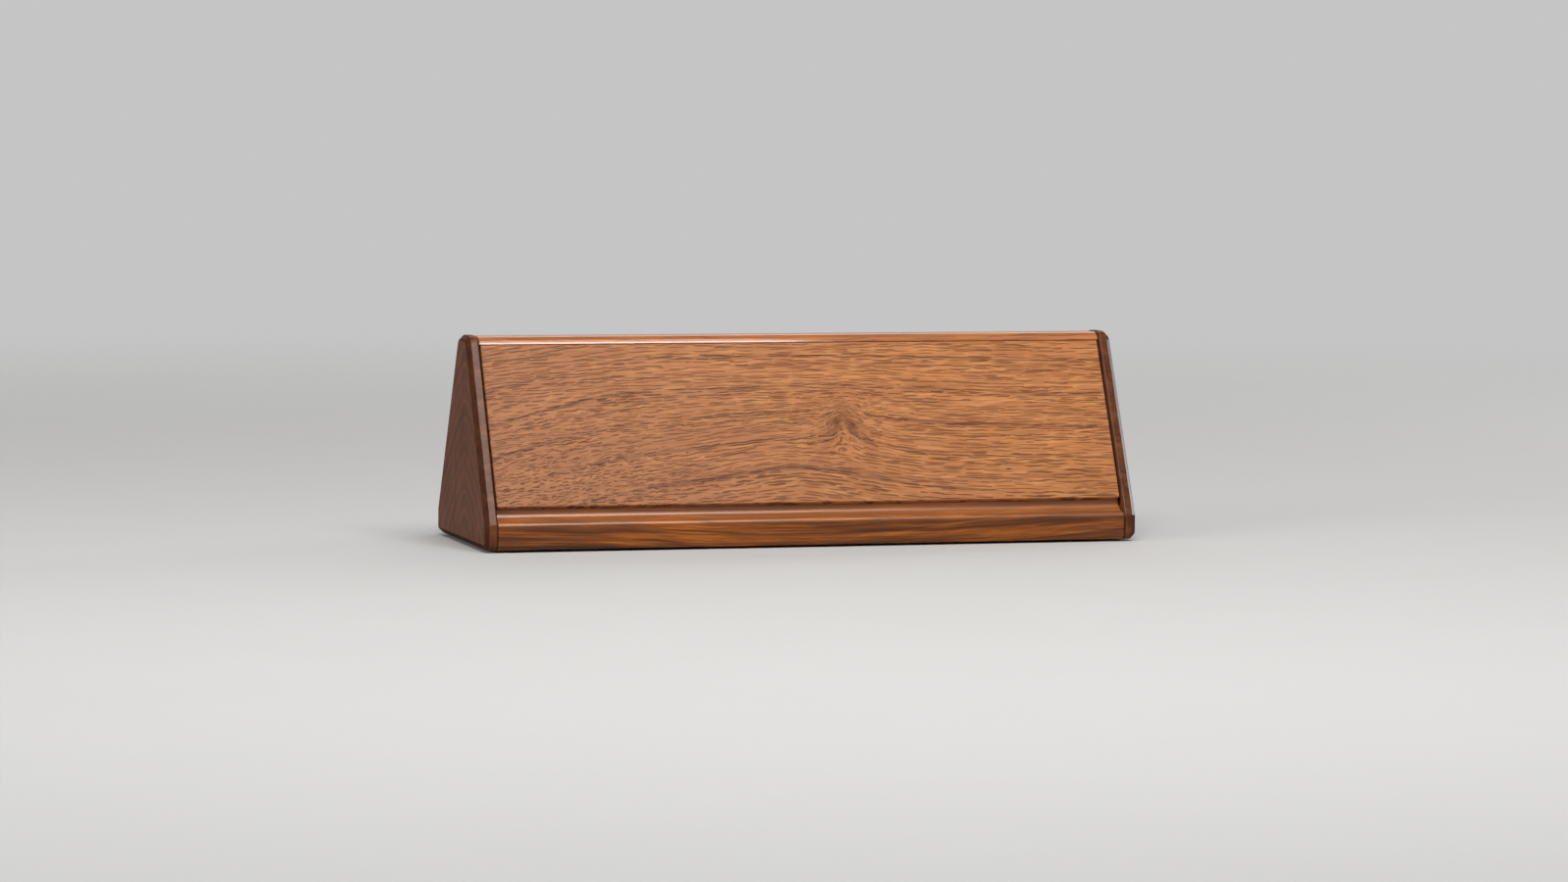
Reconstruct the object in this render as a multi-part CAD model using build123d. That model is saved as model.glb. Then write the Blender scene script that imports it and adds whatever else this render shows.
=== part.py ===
from build123d import *
from math import atan2, cos, sin, tan
import os

# Desk name plate: a hollow wooden prism with an A-shaped section between two dark end caps.
# Lengths are in millimetres. X runs along the plate, Y from the front to the rear, Z is up.
# The origin lies on the desk, under the middle of the plate.

# Whole plate
plate_length = 254.0
body_depth = 80.0
body_height = 77.4
foot_proud = 0.8

# End caps
cap_thickness = 4.8
upright_height = 9.4
apex_width = 13.4
apex_radius = 5.5
kink_radius = 2.5
cap_foot_radius = 3.0
cap_chamfer = 1.7
cap_inner_ease = 0.5

# Sloping panels: the front part of the thickness is a lip that overhangs the rail, the rear part a tongue
panel_recess = 0.8
panel_thickness = 5.8
panel_end_gap = 0.5
panel_ease = 0.35
lip_thickness = 3.8
lip_rise = 7.7
tongue_length = 4.2

# Ridge rail: rounded top, a narrow land under each round, and a rebate for the upper edge of each panel
ridge_drop = 0.3
ridge_radius = 4.7
ridge_land = 0.27
ridge_bed = 10.0
ridge_ease = 0.4
seam_gap = 0.15

# Base rails: upright face, sloping shelf, cove under the lip, groove for the tongue, rebate for the board
rail_recess = 0.2
rail_depth = 18.0
rail_web = 10.0
rail_rear_rise = 9.0
rail_ease = 0.3
rail_foot_radius = 2.2
shoulder_rise = 0.65
shoulder_radius = 1.5
notch_height = 3.28
cove_radius = 3.0
rim_thickness = 1.08
rim_gap = 0.1
groove_clearance = 0.1
groove_floor_gap = 0.3

# Base board
board_thickness = 5.0
board_side_gap = 0.2
board_end_gap = 0.3
board_ease = 0.5

# Dowels
dowel_diameter = 5.0
dowel_in_cap = 3.0
dowel_in_rail = 13.0
dowel_end_gap = 0.3
dowel_chamfer = 0.6
rail_dowel_height = 4.6
ridge_dowel_drop = 11.4
bore_clearance = 0.1

# Base screws
screw_foot_pitch = 11.0
screws_per_row = 2
screw_length = 11.0
screw_diameter = 3.0
screw_head_diameter = 6.0
screw_head_cone = 1.6
screw_tip_length = 3.0
screw_sink = 0.1
screw_clearance = 0.1
recess_span = 3.2
recess_width = 0.8
recess_depth = 1.1

# Rubber feet
foot_diameter = 12.0
foot_thickness = 2.0
foot_chamfer = 0.5
foot_seat_clearance = 0.2
foot_end_margin = 11.2
foot_side_margin = 8.3

# Sizes that follow from the ones above
wood_z = foot_proud
kink_z = foot_proud + upright_height
apex_z = foot_proud + body_height
front_y = -body_depth / 2
slope_angle = atan2(body_height - upright_height, (body_depth - apex_width) / 2)
inner_x = plate_length / 2 - cap_thickness
panel_rear = panel_recess + panel_thickness
tongue_front = panel_recess + lip_thickness
tongue_foot = lip_rise - tongue_length
ridge_z = apex_z - ridge_drop
ridge_corner = (ridge_z - kink_z + panel_recess * cos(slope_angle)) / sin(slope_angle)
panel_top = ridge_corner - ridge_radius * tan(slope_angle / 2) - ridge_land
groove_front = tongue_front - groove_clearance
groove_rear = panel_rear + groove_clearance
groove_floor = tongue_foot - groove_floor_gap
rim_rise = lip_rise - rim_gap
rail_front_y = front_y + rail_recess
rail_rear_y = front_y + rail_depth
rebate_y = front_y + rail_web
board_top_z = wood_z + board_thickness
board_width = 2 * (abs(rebate_y) - board_side_gap)
screw_y = (rebate_y + rail_rear_y) / 2
dowel_length = dowel_in_cap + dowel_in_rail - 2 * dowel_end_gap
foot_x = inner_x - foot_end_margin
foot_y = board_width / 2 - foot_side_margin
screw_row_length = 2 * (foot_x - screw_foot_pitch)

# Solids that stand on their origin
standing = (Align.CENTER, Align.CENTER, Align.MIN)


def slope_point(along, inward):
    """Point (y, z) measured up the front slope from its lower edge, then square into the body."""
    y = front_y + along * cos(slope_angle) + inward * sin(slope_angle)
    z = kink_z + along * sin(slope_angle) - inward * cos(slope_angle)
    return (y, z)


def with_rear(points):
    """Outline of the front half followed by its mirror image at the rear."""
    return points + [(-y, z) for y, z in reversed(points)]


def corners_at(face, points):
    """Vertices of a face that lie nearest to the given points."""
    return [face.vertices().sort_by_distance(Vertex(*point))[0] for point in points]


def bar(face, length):
    """Straight bar along X with the face as its YZ section, centred on the middle of the plate."""
    return extrude(Plane.YZ * face, amount=length / 2, both=True)


def end_edges(solid, y_limit):
    """Edges around both ends of a bar, in front of a limit in Y."""
    ends = solid.faces().sort_by(Axis.X)[0].edges() + solid.faces().sort_by(Axis.X)[-1].edges()
    return [edge for edge in ends if edge.center().Y < y_limit]


def dowel_places():
    """Centres (y, z) of the dowels of one cap, by the name of the piece that each one enters."""
    rail_y = (rail_front_y + rebate_y) / 2
    rail_z = wood_z + rail_dowel_height
    return {"front": (rail_y, rail_z), "rear": (-rail_y, rail_z), "ridge": (0, apex_z - ridge_dowel_drop)}


def dowel_bore(place, x, depth):
    """Cylinder along X for one dowel, from a plane at x towards the middle of the plate or away from it."""
    y, z = place
    bore = Cylinder(dowel_diameter / 2 + bore_clearance, abs(depth), rotation=(0, 90, 0))
    return Pos(x + depth / 2, y, z) * bore


def end_bores(name):
    """Bores at both ends of the rail that the named dowels enter."""
    place = dowel_places()[name]
    return dowel_bore(place, inner_x, -dowel_in_rail) + dowel_bore(place, -inner_x, dowel_in_rail)


def right_cap():
    """Plate with the A-shaped outline, chamfered on its outer face, bored on its inner face."""
    foot = (front_y, wood_z)
    kink = (front_y, kink_z)
    apex = (-apex_width / 2, apex_z)
    outline = make_face(Polyline(with_rear([foot, kink, apex]), close=True))
    outline = fillet(corners_at(outline, [foot, (-foot[0], foot[1])]), cap_foot_radius)
    outline = fillet(corners_at(outline, [kink, (-kink[0], kink[1])]), kink_radius)
    outline = fillet(corners_at(outline, [apex, (-apex[0], apex[1])]), apex_radius)
    cap = extrude(Plane.YZ.offset(inner_x) * outline, amount=cap_thickness)
    cap = chamfer(cap.faces().sort_by(Axis.X)[-1].edges(), cap_chamfer)
    cap = chamfer(cap.faces().sort_by(Axis.X)[0].edges(), cap_inner_ease)
    for place in dowel_places().values():
        cap -= dowel_bore(place, inner_x, dowel_in_cap)
    return cap


def front_panel():
    """Board on the front slope with an overhanging lip and a tongue along its lower edge."""
    upper = panel_top - seam_gap
    outline = [
        slope_point(lip_rise, panel_recess),
        slope_point(upper, panel_recess),
        slope_point(upper, panel_rear),
        slope_point(tongue_foot, panel_rear),
        slope_point(tongue_foot, tongue_front),
        slope_point(lip_rise, tongue_front),
    ]
    board = bar(make_face(Polyline(outline, close=True)), 2 * (inner_x - panel_end_gap))
    outward = Vector(0, -sin(slope_angle), cos(slope_angle))
    show_face = board.faces().sort_by(lambda face: face.center().dot(outward))[-1]
    return chamfer(show_face.edges(), panel_ease)


def ridge():
    """Top rail: rounded crown, short flanks level with the panels, rebates that carry their upper edges."""
    crown = slope_point(ridge_corner, panel_recess)
    half = [
        slope_point(panel_top - ridge_bed, panel_rear),
        slope_point(panel_top, panel_rear),
        slope_point(panel_top, panel_recess),
        crown,
    ]
    outline = make_face(Polyline(with_rear(half), close=True))
    outline = fillet(corners_at(outline, [crown, (-crown[0], crown[1])]), ridge_radius)
    rail = bar(outline, 2 * inner_x)
    crown_edges = [edge for edge in end_edges(rail, body_depth) if edge.center().Z > half[2][1]]
    return chamfer(crown_edges, ridge_ease) - end_bores("ridge")


def rim_corner():
    """Front corner (y, z) of the rim that stands between the cove and the groove."""
    return slope_point(rim_rise, groove_front - rim_thickness / sin(slope_angle))


def rail_outline():
    """Section of the front rail: foot, upright, shoulder, shelf, cove, rim, rear land and rebate."""
    rim_y, rim_z = rim_corner()
    foot = (rail_front_y, wood_z)
    shoulder = (rail_front_y, kink_z + shoulder_rise)
    cove = (rim_y, rim_z - notch_height)
    rear_land = slope_point(rail_rear_rise, groove_rear)
    corners = [
        foot,
        shoulder,
        cove,
        (rim_y, rim_z),
        slope_point(rim_rise, groove_rear),
        rear_land,
        (rail_rear_y, rear_land[1]),
        (rail_rear_y, board_top_z),
        (rebate_y, board_top_z),
        (rebate_y, wood_z),
    ]
    outline = make_face(Polyline(corners, close=True))
    outline = fillet(corners_at(outline, [foot]), rail_foot_radius)
    outline = fillet(corners_at(outline, [shoulder]), shoulder_radius)
    return fillet(corners_at(outline, [cove]), cove_radius)


def groove_outline():
    """Section of the groove that takes the tongue of the front panel."""
    corners = [
        slope_point(rim_rise, groove_front),
        slope_point(groove_floor, groove_front),
        slope_point(groove_floor, groove_rear),
        slope_point(rim_rise, groove_rear),
    ]
    return make_face(Polyline(corners, close=True))


def front_rail():
    """Moulded plinth rail along the front foot, grooved for the panel, bored for its dowels and screws."""
    rail = bar(rail_outline(), 2 * inner_x)
    rail = chamfer(end_edges(rail, rim_corner()[0] - rail_ease), rail_ease)
    rail = rail - bar(groove_outline(), plate_length) - end_bores("front")
    for x in screw_stations():
        rail -= Pos(x, screw_y, wood_z) * screw_hole()
    return rail


def screw_stations():
    """X of each base screw along a rail."""
    pitch = screw_row_length / (screws_per_row - 1)
    return [pitch * step - screw_row_length / 2 for step in range(screws_per_row)]


def turned(outline):
    """Solid turned about the Z axis from an outline of (radius, height) corners."""
    return revolve(Plane.XZ * make_face(Polyline(outline, close=True)), Axis.Z)


def screw_hole():
    """Hole for a screw with its mouth at the origin: countersink and straight bore."""
    mouth = screw_head_diameter / 2 + screw_clearance + screw_sink
    bore = screw_diameter / 2 + screw_clearance
    end = screw_sink + screw_length + screw_clearance
    return turned([(0, 0), (mouth, 0), (bore, screw_sink + screw_head_cone), (bore, end), (0, end)])


def base_screw():
    """Countersunk screw pointing up, its head's face at the origin, with a cross recess."""
    head = screw_head_diameter / 2
    shank = screw_diameter / 2
    tip = screw_length - screw_tip_length
    screw = turned([(0, 0), (head, 0), (shank, screw_head_cone), (shank, tip), (0, screw_length)])
    slot = Box(recess_span, recess_width, recess_depth, align=standing)
    return screw - slot - Rot(0, 0, 90) * slot


def base_screw_places():
    """Head centres of the base screws: the front row from left to right, then the rear row."""
    return [(x, y, wood_z + screw_sink) for y in (screw_y, -screw_y) for x in screw_stations()]


def foot_places():
    """Centres (x, y) of the feet by name."""
    sides = {"left": -foot_x, "right": foot_x}
    rows = {"front": -foot_y, "rear": foot_y}
    return {f"{row}_{side}_foot": (sides[side], rows[row]) for row in rows for side in sides}


def rubber_foot():
    """Round foot standing on the desk, its lower edge chamfered."""
    foot = Cylinder(foot_diameter / 2, foot_thickness, align=standing)
    return chamfer(foot.faces().sort_by(Axis.Z)[0].edges(), foot_chamfer)


def base_board():
    """Board let into the rails from below, with countersunk screw holes and seats for the feet."""
    length = 2 * (inner_x - board_end_gap)
    board = Pos(0, 0, wood_z) * Box(length, board_width, board_thickness, align=standing)
    board = chamfer(board.faces().sort_by(Axis.Z)[0].edges(), board_ease)
    for x, y, _ in base_screw_places():
        board -= Pos(x, y, wood_z) * screw_hole()
    seat = Cylinder(foot_diameter / 2 + foot_seat_clearance, foot_thickness, align=standing)
    for x, y in foot_places().values():
        board -= Pos(x, y, 0) * seat
    return board


def dowel():
    """Plain dowel along X, centred on the origin, with chamfered ends."""
    pin = Cylinder(dowel_diameter / 2, dowel_length, rotation=(0, 90, 0))
    return chamfer(pin.edges().filter_by(GeomType.CIRCLE), dowel_chamfer)


def dowels():
    """Dowels of both caps by name."""
    x = inner_x + dowel_in_cap - dowel_end_gap - dowel_length / 2
    pins = {}
    for side, centre in (("left", -x), ("right", x)):
        for name, (y, z) in dowel_places().items():
            pins[f"{side}_{name}_dowel"] = Pos(centre, y, z) * dowel()
    return pins


def all_nodes():
    """Every piece of the plate by the name of its node."""
    cap = right_cap()
    panel = front_panel()
    rail = front_rail()
    nodes = {
        "left_end_cap": mirror(cap, about=Plane.YZ),
        "right_end_cap": cap,
        "name_panel": panel,
        "rear_panel": mirror(panel, about=Plane.XZ),
        "ridge_rail": ridge(),
        "front_base_rail": rail,
        "rear_base_rail": mirror(rail, about=Plane.XZ),
        "base_board": base_board(),
    }
    nodes.update(dowels())
    for number, place in enumerate(base_screw_places(), start=1):
        nodes[f"base_screw_{number}"] = Pos(*place) * base_screw()
    for name, (x, y) in foot_places().items():
        nodes[name] = Pos(x, y, 0) * rubber_foot()
    return nodes


os.makedirs("parts", exist_ok=True)
for node, shape in all_nodes().items():
    export_step(shape, f"parts/{node}.step")
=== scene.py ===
from collections import namedtuple

import bpy
import numpy as np
from bpy.props import FloatProperty, FloatVectorProperty, IntProperty, PointerProperty
from mathutils import Matrix, Vector


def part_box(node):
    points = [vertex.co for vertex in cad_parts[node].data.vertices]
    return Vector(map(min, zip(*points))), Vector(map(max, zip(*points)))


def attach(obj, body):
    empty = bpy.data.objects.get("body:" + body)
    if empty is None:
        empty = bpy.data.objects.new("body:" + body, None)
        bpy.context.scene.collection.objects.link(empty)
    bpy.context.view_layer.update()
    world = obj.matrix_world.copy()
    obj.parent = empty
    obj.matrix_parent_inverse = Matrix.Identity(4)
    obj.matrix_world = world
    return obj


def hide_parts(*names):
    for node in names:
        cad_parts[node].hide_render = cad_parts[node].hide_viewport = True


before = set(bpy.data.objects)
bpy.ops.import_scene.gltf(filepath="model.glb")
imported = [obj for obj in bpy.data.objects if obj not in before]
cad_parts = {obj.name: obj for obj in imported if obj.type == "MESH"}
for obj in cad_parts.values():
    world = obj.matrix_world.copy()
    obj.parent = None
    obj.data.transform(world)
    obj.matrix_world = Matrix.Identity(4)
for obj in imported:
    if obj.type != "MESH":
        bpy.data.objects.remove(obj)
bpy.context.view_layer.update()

bl_info = {
    "name": "Desk name plate",
    "version": (1, 0, 0),
    "blender": (4, 5, 0),
    "location": "3D View > Sidebar > Name plate",
    "description": "Gives the CAD model of a wooden desk name plate its eased edges, woods and studio",
    "category": "Object",
}

# Points of a curve in a plane, its outward normals, and a mask that is 1 in the middle of each eased edge
Curve = namedtuple("Curve", "points normals arris")

# Inputs of a knot's node group, in millimetres, and the strength of its dark shade and of the line through it
Knot = namedtuple("Knot", "inputs shade_depth line_depth")

cap_low, cap_high = (np.array(corner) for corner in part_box("right_end_cap"))
rail_low, rail_high = (np.array(corner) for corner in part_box("front_base_rail"))
panel_end = float(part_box("name_panel")[1][0])
rail_end = float(rail_high[0])


# Properties

def shade(red, green, blue):
    """Linear colour from the 0 to 255 values that it shows on a screen."""
    screen = np.array([red, green, blue]) / 255
    linear = np.where(screen <= 0.04045, screen / 12.92, ((screen + 0.055) / 1.055) ** 2.4)
    return tuple(float(value) for value in linear)


def number_kind(**limits):
    """Maker of number properties that share their limits and their unit."""

    def make(name, description, default):
        return FloatProperty(name=name, description=description, default=default, **limits)

    return make


# Lengths in metres, shares of one, sizes of the wood's figure in millimetres, slopes of the figure that may be
# negative, refractive indices, powers of lights, and angles
length = number_kind(min=0.0, precision=5, unit="LENGTH")
share = number_kind(min=0.0, max=1.0, subtype="FACTOR")
grain = number_kind(min=0.0)
drift = number_kind()
refraction = number_kind(min=1.0)
wattage = number_kind(unit="POWER")
tilt_angle = number_kind(subtype="ANGLE")


def colour(name, description, screen):
    """Property for a colour, written as it shows on a screen."""
    return FloatVectorProperty(
        name=name, description=description, default=shade(*screen), size=3, min=0.0, max=1.0, subtype="COLOR"
    )


class PlateSizes(bpy.types.PropertyGroup):
    """Sizes of the wooden pieces, the same as in the CAD model."""

    upright: length("Upright", "Height of the upright foot of a cap", 0.0094)
    apex_width: length("Apex width", "Width of the flat top of a cap", 0.0134)
    apex_radius: length("Apex radius", "Rounding at the top of a cap", 0.0055)
    kink_radius: length("Kink radius", "Rounding where the upright meets the slope", 0.0025)
    foot_radius: length("Foot radius", "Rounding at the bottom of a cap", 0.003)
    chamfer: length("Chamfer", "Chamfer around the outer face of a cap", 0.0017)
    inner_ease: length("Inner ease", "Chamfer around the inner face of a cap", 0.0005)
    panel_recess: length("Panel recess", "Step from the edge of a cap down to a panel", 0.0008)
    panel_thickness: length("Panel thickness", "Thickness of a panel", 0.0058)
    panel_ease: length("Panel ease", "Eased edge around the face of a panel", 0.00035)
    lip_thickness: length("Lip thickness", "Part of the panel's thickness that overhangs the rail", 0.0038)
    lip_rise: length("Lip rise", "Lower edge of the lip, measured up the slope", 0.0077)
    tongue: length("Tongue", "Length of the tongue under the lip", 0.0042)
    seam: length("Seam", "Gap between a panel and the ridge rail", 0.00015)
    ridge_drop: length("Ridge drop", "Step from the top of a cap down to the ridge", 0.0003)
    ridge_radius: length("Ridge radius", "Rounding of the ridge rail", 0.0047)
    ridge_land: length("Ridge land", "Flat flank under the rounding of the ridge", 0.00027)
    ridge_bed: length("Ridge bed", "Depth of the flank behind a panel's upper edge", 0.010)
    rail_web: length("Rail web", "Depth of a base rail in front of its rebate", 0.010)
    rail_rise: length("Rail rise", "Rear land of a base rail, measured up the slope", 0.009)
    rail_foot: length("Rail foot", "Rounding at the bottom of a base rail", 0.0022)
    shoulder_rise: length("Shoulder rise", "Height of the rail's shoulder above the kink", 0.00065)
    shoulder_radius: length("Shoulder radius", "Rounding of the rail's shoulder", 0.0015)
    notch: length("Notch", "Height of the notch under the lip", 0.00328)
    cove_radius: length("Cove radius", "Hollow rounding at the back of the notch", 0.003)
    rim: length("Rim", "Thickness of the rim between the cove and the groove", 0.00108)
    rim_gap: length("Rim gap", "Gap between the rim and the lip", 0.0001)
    groove_play: length("Groove play", "Clearance on each side of the tongue", 0.0001)
    groove_gap: length("Groove gap", "Gap under the tongue", 0.0003)
    rebate: length("Rebate", "Height of the rebate for the base board", 0.005)
    rail_ease: length("Rail ease", "Eased edge at the ends of the rails", 0.0003)
    arris: length("Arris", "Radius of the sanded edges", 0.0003)
    fine_arris: length("Fine arris", "Radius of the edges inside the joints", 0.00012)
    arc_steps: IntProperty(name="Arc steps", description="Points on each rounded corner", default=12, min=3, max=48)


class SmallPartSizes(bpy.types.PropertyGroup):
    """Sizes of the screws and of the feet."""

    head_diameter: length("Head diameter", "Diameter of a screw's head", 0.006)
    head_cone: length("Head cone", "Height of the head's cone", 0.0016)
    thread_diameter: length("Thread diameter", "Outer diameter of the thread", 0.003)
    core_diameter: length("Core diameter", "Diameter of the core inside the thread", 0.0021)
    thread_pitch: length("Thread pitch", "Rise of the thread in one turn", 0.00125)
    tip: length("Tip", "Length of the tapered tip", 0.003)
    recess_span: length("Recess span", "Length of each arm of the cross recess", 0.0034)
    recess_width: length("Recess width", "Width of each arm of the cross recess", 0.0009)
    recess_depth: length("Recess depth", "Depth of the cross recess", 0.0011)
    foot_round: length("Foot rounding", "Rounding of the lower edge of a foot", 0.0005)


# Properties of every wood: kind, name, description and usual default. Figure sizes are in millimetres.
WOOD_FIELDS = {
    "light": (colour, "Light wood", "Pale early wood", (188, 124, 74)),
    "dark": (colour, "Dark wood", "Darker bands of the figure", (160, 102, 62)),
    "line": (colour, "Ring line", "Line at the end of each growth ring", (92, 58, 46)),
    "pore": (colour, "Pore", "Open pores", (70, 36, 22)),
    # worn: colour of worn edges and of their painted highlight, of the painted light on a rail's upper edge, and of
    # the pale fibres
    "worn": (colour, "Worn edge", "Wood that shows along handled edges", (208, 152, 104)),
    "ring_pitch": (grain, "Ring pitch", "Distance between growth rings", 9.0),
    "heart": (grain, "Heart", "Distance from the pith at which the ring lines begin", 0.0),
    "ease": (grain, "Ease", "Length over which the grain bends away from the pith's place", 30.0),
    "skew": (drift, "Skew", "Share of the lean on the right of the pith's place", 1.0),
    "lean": (drift, "Lean", "Slope of the grain away from the pith's place", 0.05),
    "wander": (grain, "Wander", "How far the grain wanders from side to side", 1.6),
    "follow": (share, "Follow", "How far the pores follow the lean of the rings", 1.0),
    "late_share": (share, "Late wood", "Share of each growth ring that is late wood", 0.18),
    "pore_length": (grain, "Pore length", "Spacing of the pores along the grain", 8.0),
    "pore_width": (grain, "Pore width", "Spacing of the pores across the grain", 1.35),
    "line_depth": (share, "Line depth", "Strength of the ring lines", 0.8),
    "pore_depth": (share, "Pore depth", "Strength of the pores' colour", 0.85),
    "fibre_depth": (share, "Fibre depth", "Strength of the fine fibres", 0.5),
    "gleam_depth": (share, "Gleam depth", "Strength of the pale fibres", 0.25),
    # bevel_depth is painted shade: how much darker the chamfers are painted
    "bevel_depth": (share, "Bevel depth", "How much darker the bevels are", 0.0),
    # crest_depth is painted light: how much lighter a board is painted near its upper edge, which faces the light
    # overhead
    "crest_depth": (share, "Crest depth", "How much lighter the wood gets near its upper edge", 0.0),
    "crest": (grain, "Crest", "Height at which the lighter wood is reached", 12.0),
    "cast": (colour, "Cast", "Tint that the board takes towards its lower left corner", (140, 94, 68)),
    "cast_depth": (share, "Cast depth", "Strength of the tint at the left end", 0.0),
    # wear: lighter colour along eased edges, partly handling wear and partly painted highlight
    "wear": (share, "Wear", "Strength of the wear along the edges", 0.3),
    "roughness": (share, "Roughness", "Roughness of closed wood under the lacquer", 0.46),
    "coat": (share, "Coat", "Weight of the clear lacquer", 0.03),
    "coat_roughness": (share, "Coat roughness", "Roughness of the clear lacquer", 0.24),
    "coat_index": (refraction, "Coat index", "Refractive index of the lacquer", 1.5),
    "specular": (share, "Specular", "Reflection of the wood itself", 0.06),
    "relief": (length, "Relief", "Depth of the open pores", 0.0001),
}

# The fields that the wood's figure takes
GRAIN_FIELDS = (
    "ease", "skew", "lean", "ring_pitch", "heart", "wander", "follow", "late_share", "pore_length", "pore_width",
)


def wood_group(title, text, **defaults):
    """Property group for one wood: the fields of every wood, with its own defaults where they differ."""
    fields = {
        field: kind(name, description, defaults.get(field, usual))
        for field, (kind, name, description, usual) in WOOD_FIELDS.items()
    }
    return type(title, (bpy.types.PropertyGroup,), {"__doc__": text, "__annotations__": fields})


# The base rails get painted light on their upward-facing shelf and cove through crest_depth
RAIL = {
    "light": (174, 94, 18), "dark": (84, 40, 6), "line": (44, 22, 12), "pore": (50, 24, 12), "worn": (164, 104, 64),
    "ring_pitch": 2.4, "lean": -0.05, "pore_length": 17.0, "pore_width": 1.5, "line_depth": 0.6, "pore_depth": 0.5,
    "gleam_depth": 0.1, "crest_depth": 0.5, "roughness": 0.4, "coat": 0.5, "coat_roughness": 0.25,
    "coat_index": 1.65, "specular": 0.0, "relief": 0.00003,
}
# The ridge rail's colours are the rail walnut painted paler: painted light for the top of the plate, where the light
# overhead falls
RIDGE_PAINTED_PALER = {
    **RAIL, "light": (180, 100, 28), "dark": (148, 80, 20), "line": (112, 60, 24), "crest_depth": 0.0, "coat": 0.7,
    "coat_roughness": 0.08,
}
# The caps' chamfers get painted shade through bevel_depth
CAP = {
    "light": (106, 58, 33), "dark": (82, 44, 23), "line": (132, 88, 62), "pore": (40, 18, 8), "worn": (138, 100, 80),
    "ring_pitch": 8.0, "late_share": 0.32, "follow": 0.0, "ease": 6.0, "lean": 1.2, "pore_length": 6.0,
    "line_depth": 0.5, "pore_depth": 0.25, "fibre_depth": 0.3, "gleam_depth": 0.1, "bevel_depth": 0.65,
    "roughness": 0.4, "coat": 0.19, "coat_roughness": 0.16, "specular": 0.0, "relief": 0.00004,
}
BOARD = {
    "light": (142, 102, 72), "dark": (118, 82, 56), "line": (86, 56, 38), "pore": (74, 48, 32), "ring_pitch": 5.0,
    "pore_depth": 0.35, "roughness": 0.62, "coat": 0.0,
}
DOWEL = {
    **BOARD, "light": (222, 190, 150), "dark": (206, 170, 128), "line": (182, 144, 104), "pore": (160, 122, 86),
    "ring_pitch": 2.0,
}
PanelWood = wood_group(
    "PanelWood", "Satin walnut of the two sloping panels.",
    ring_pitch=13.5, heart=195.0, ease=100.0, skew=0.07, lean=0.53, follow=0.4, cast_depth=0.7,
)
RailWood = wood_group("RailWood", "Gloss walnut of the moulded base rails.", **RAIL)
# The ridge's paler colours are painted light on the top of the plate
RidgeWood = wood_group("RidgeWood", "Gloss walnut of the ridge rail, cut from paler wood.", **RIDGE_PAINTED_PALER)
CapWood = wood_group("CapWood", "Dark hardwood of the end caps.", **CAP)
BoardWood = wood_group("BoardWood", "Stained face veneer of the plywood base board.", **BOARD)
DowelWood = wood_group("DowelWood", "Plain beech of the dowels.", **DOWEL)


class PanelFigure(bpy.types.PropertyGroup):
    """Knot, swell and curl in the grain of the panels, in millimetres."""

    knot_reach: grain("Knot reach", "Size of the swirl around the knot", 8.0)
    knot_rise: grain("Knot rise", "How far the grain lifts over the knot", 5.5)
    swell_reach: grain("Swell reach", "Size of the swell in the grain below the knot", 28.0)
    swell_rise: grain("Swell rise", "How far the grain lifts over the swell", 8.0)
    curl_reach: grain("Curl reach", "Size of the curled grain near the lower left corner", 30.0)
    curl: grain("Curl", "How far the grain curls there", 1.0)


class StageSettings(bpy.types.PropertyGroup):
    """Camera, lights and floor."""

    lens: FloatProperty(name="Lens", description="Focal length", default=126.89, min=1.0, unit="CAMERA")
    distance: length("Distance", "From the camera to the point that it looks at", 2.10196)
    target: FloatVectorProperty(
        name="Target", description="Point that the camera looks at", default=(-0.00125, 0.0, 0.03695), unit="LENGTH"
    )
    yaw: tilt_angle("Yaw", "Turn of the camera to the right", 0.28641)
    pitch: tilt_angle("Pitch", "Tilt of the camera down", 0.07645)
    roll: tilt_angle("Roll", "Lean of the camera", 0.0089)
    floor_radius: length("Floor radius", "Radius of the floor", 9.0)
    floor_colour: colour("Floor", "Colour of the floor", (190, 189, 187))
    key_power: wattage("Key", "Soft box over the front", 11.5)
    rim_power: wattage("Rim", "Strip light at the right rear", 5.5)
    fill_power: wattage("Fill", "Large soft light from the left", 22.0)
    top_power: wattage("Top", "Large soft light overhead", 17.5)
    card_power: wattage("Card", "Gloss card over the left half", 6.5)
    back_power: wattage("Back", "Soft light from behind", 9.0)
    sky: FloatProperty(name="Sky", description="Strength of the even light from all sides", default=0.25, min=0.0)
    backdrop: share("Backdrop", "Brightness of the backdrop behind the floor", 0.56)


class NameplateSettings(bpy.types.PropertyGroup):
    """All settings of the name plate."""

    sizes: PointerProperty(type=PlateSizes)
    small: PointerProperty(type=SmallPartSizes)
    figure: PointerProperty(type=PanelFigure)
    panel: PointerProperty(type=PanelWood)
    rail: PointerProperty(type=RailWood)
    ridge: PointerProperty(type=RidgeWood)
    cap: PointerProperty(type=CapWood)
    board: PointerProperty(type=BoardWood)
    dowel: PointerProperty(type=DowelWood)
    stage: PointerProperty(type=StageSettings)


# Curves and surfaces

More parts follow.
